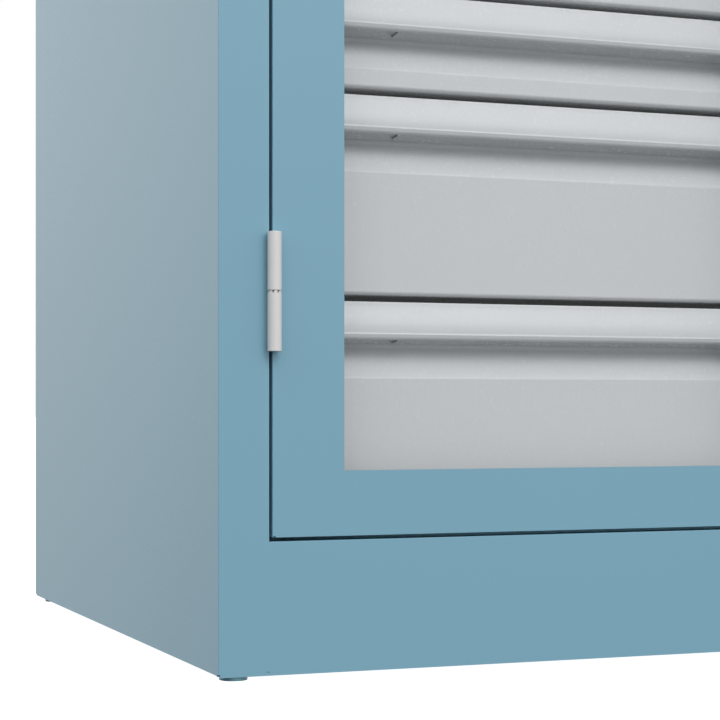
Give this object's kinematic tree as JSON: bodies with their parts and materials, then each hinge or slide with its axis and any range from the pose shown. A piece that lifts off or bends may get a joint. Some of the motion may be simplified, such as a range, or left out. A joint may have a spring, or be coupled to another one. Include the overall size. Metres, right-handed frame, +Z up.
{
  "type": "drawer cabinet",
  "caption": "Heavy-duty sheet-steel drawer cabinet on levelling feet, with hinged window doors in front of full-width drawers with rolled grips.",
  "frame": {"origin": "on the floor, under the middle of the cabinet's bounding box", "axes": "+X to the right seen from the front, the doors face -Y, +Z up"},
  "size_m": [1, 0.6266, 0.8],
  "materials": {
    "blue_paint": "satin powder coat, pastel blue",
    "grey_paint": "satin powder coat, light grey",
    "zinc": "bright zinc plate",
    "foot_zinc": "blue passivated zinc plate",
    "aluminium": "mill finish extrusion",
    "black_plastic": "fine matt moulding",
    "clear_pane": "clear polycarbonate sheet"
  },
  "bodies": {
    "carcass": {"top_panel": "blue_paint", "floor_panel": "blue_paint", "back_panel": "blue_paint", "plinth_panel": "blue_paint", "top_rail": "blue_paint", "left_side_panel": "blue_paint", "right_side_panel": "blue_paint", "magnetic_catch": "black_plastic", "left_runner_frame": "zinc", "right_runner_frame": "zinc", "front_left_foot": "foot_zinc", "front_right_foot": "foot_zinc", "rear_left_foot": "foot_zinc", "rear_right_foot": "foot_zinc", "left_lower_hinge_pintle": "zinc", "left_upper_hinge_pintle": "zinc", "right_lower_hinge_pintle": "zinc", "right_upper_hinge_pintle": "zinc"},
    "left_door": {"left_door_frame": "blue_paint", "left_window_pane": "clear_pane", "left_pane_retainer": "aluminium", "left_lower_hinge_sleeve": "zinc", "left_upper_hinge_sleeve": "zinc"},
    "right_door": {"right_door_frame": "blue_paint", "right_window_pane": "clear_pane", "right_pane_retainer": "aluminium", "right_lower_hinge_sleeve": "zinc", "right_upper_hinge_sleeve": "zinc", "lock_escutcheon": "zinc", "upper_rod_guide": "black_plastic", "lower_rod_guide": "black_plastic"},
    "lock": {"lock_knob": "black_plastic", "lock_cam": "zinc"},
    "upper_rod": {"upper_lock_rod": "zinc"},
    "lower_rod": {"lower_lock_rod": "zinc"},
    "drawer_1": {"drawer_1_front": "grey_paint", "drawer_1_tray": "grey_paint"},
    "drawer_2": {"drawer_2_front": "grey_paint", "drawer_2_tray": "grey_paint"},
    "drawer_3": {"drawer_3_front": "grey_paint", "drawer_3_tray": "grey_paint"},
    "drawer_4": {"drawer_4_front": "grey_paint", "drawer_4_tray": "grey_paint"},
    "drawer_5": {"drawer_5_front": "grey_paint", "drawer_5_tray": "grey_paint"},
    "drawer_6": {"drawer_6_front": "grey_paint", "drawer_6_tray": "grey_paint"},
    "drawer_1_rails": {"drawer_1_left_middle_rail": "zinc", "drawer_1_right_middle_rail": "zinc"},
    "drawer_2_rails": {"drawer_2_left_middle_rail": "zinc", "drawer_2_right_middle_rail": "zinc"},
    "drawer_3_rails": {"drawer_3_left_middle_rail": "zinc", "drawer_3_right_middle_rail": "zinc"},
    "drawer_4_rails": {"drawer_4_left_middle_rail": "zinc", "drawer_4_right_middle_rail": "zinc"},
    "drawer_5_rails": {"drawer_5_left_middle_rail": "zinc", "drawer_5_right_middle_rail": "zinc"},
    "drawer_6_rails": {"drawer_6_left_middle_rail": "zinc", "drawer_6_right_middle_rail": "zinc"}
  },
  "joints": [
    {"name": "left_door_hinge", "type": "hinge", "parent": "carcass", "child": "left_door", "pos_m": [-0.4608, -0.292, 0.4297], "axis": [0, 0, -1], "range_deg": [0, 180]},
    {"name": "right_door_hinge", "type": "hinge", "parent": "carcass", "child": "right_door", "pos_m": [0.4608, -0.292, 0.4297], "axis": [0, 0, 1], "range_deg": [0, 180]},
    {"name": "lock_turn", "type": "hinge", "parent": "right_door", "child": "lock", "pos_m": [0.0252, -0.2867, 0.4297], "axis": [0, -1, 0], "range_deg": [0, 90]},
    {"name": "upper_rod_slide", "type": "slide", "parent": "right_door", "child": "upper_rod", "axis": [0, 0, 1], "range_m": [0, 0.01202]},
    {"name": "lower_rod_slide", "type": "slide", "parent": "right_door", "child": "lower_rod", "axis": [0, 0, -1], "range_m": [0, 0.01202]},
    {"name": "drawer_1_slide", "type": "slide", "parent": "carcass", "child": "drawer_1", "axis": [0, -1, 0], "range_m": [0, 0.008]},
    {"name": "drawer_2_slide", "type": "slide", "parent": "carcass", "child": "drawer_2", "axis": [0, -1, 0], "range_m": [0, 0.008]},
    {"name": "drawer_3_slide", "type": "slide", "parent": "carcass", "child": "drawer_3", "axis": [0, -1, 0], "range_m": [0, 0.008]},
    {"name": "drawer_4_slide", "type": "slide", "parent": "carcass", "child": "drawer_4", "axis": [0, -1, 0], "range_m": [0, 0.008]},
    {"name": "drawer_5_slide", "type": "slide", "parent": "carcass", "child": "drawer_5", "axis": [0, -1, 0], "range_m": [0, 0.008]},
    {"name": "drawer_6_slide", "type": "slide", "parent": "carcass", "child": "drawer_6", "axis": [0, -1, 0], "range_m": [0, 0.008]},
    {"name": "drawer_1_rails_slide", "type": "slide", "parent": "carcass", "child": "drawer_1_rails", "axis": [0, -1, 0], "range_m": [0, 0.004]},
    {"name": "drawer_2_rails_slide", "type": "slide", "parent": "carcass", "child": "drawer_2_rails", "axis": [0, -1, 0], "range_m": [0, 0.004]},
    {"name": "drawer_3_rails_slide", "type": "slide", "parent": "carcass", "child": "drawer_3_rails", "axis": [0, -1, 0], "range_m": [0, 0.004]},
    {"name": "drawer_4_rails_slide", "type": "slide", "parent": "carcass", "child": "drawer_4_rails", "axis": [0, -1, 0], "range_m": [0, 0.004]},
    {"name": "drawer_5_rails_slide", "type": "slide", "parent": "carcass", "child": "drawer_5_rails", "axis": [0, -1, 0], "range_m": [0, 0.004]},
    {"name": "drawer_6_rails_slide", "type": "slide", "parent": "carcass", "child": "drawer_6_rails", "axis": [0, -1, 0], "range_m": [0, 0.004]}
  ],
  "couplings": [
    {"joint": "lock_turn", "follows": "upper_rod_slide", "rad_per_m": 130.67},
    {"joint": "lower_rod_slide", "follows": "upper_rod_slide", "ratio": 1},
    {"joint": "drawer_1_rails_slide", "follows": "drawer_1_slide", "ratio": 0.5},
    {"joint": "drawer_2_rails_slide", "follows": "drawer_2_slide", "ratio": 0.5},
    {"joint": "drawer_3_rails_slide", "follows": "drawer_3_slide", "ratio": 0.5},
    {"joint": "drawer_4_rails_slide", "follows": "drawer_4_slide", "ratio": 0.5},
    {"joint": "drawer_5_rails_slide", "follows": "drawer_5_slide", "ratio": 0.5},
    {"joint": "drawer_6_rails_slide", "follows": "drawer_6_slide", "ratio": 0.5}
  ]
}
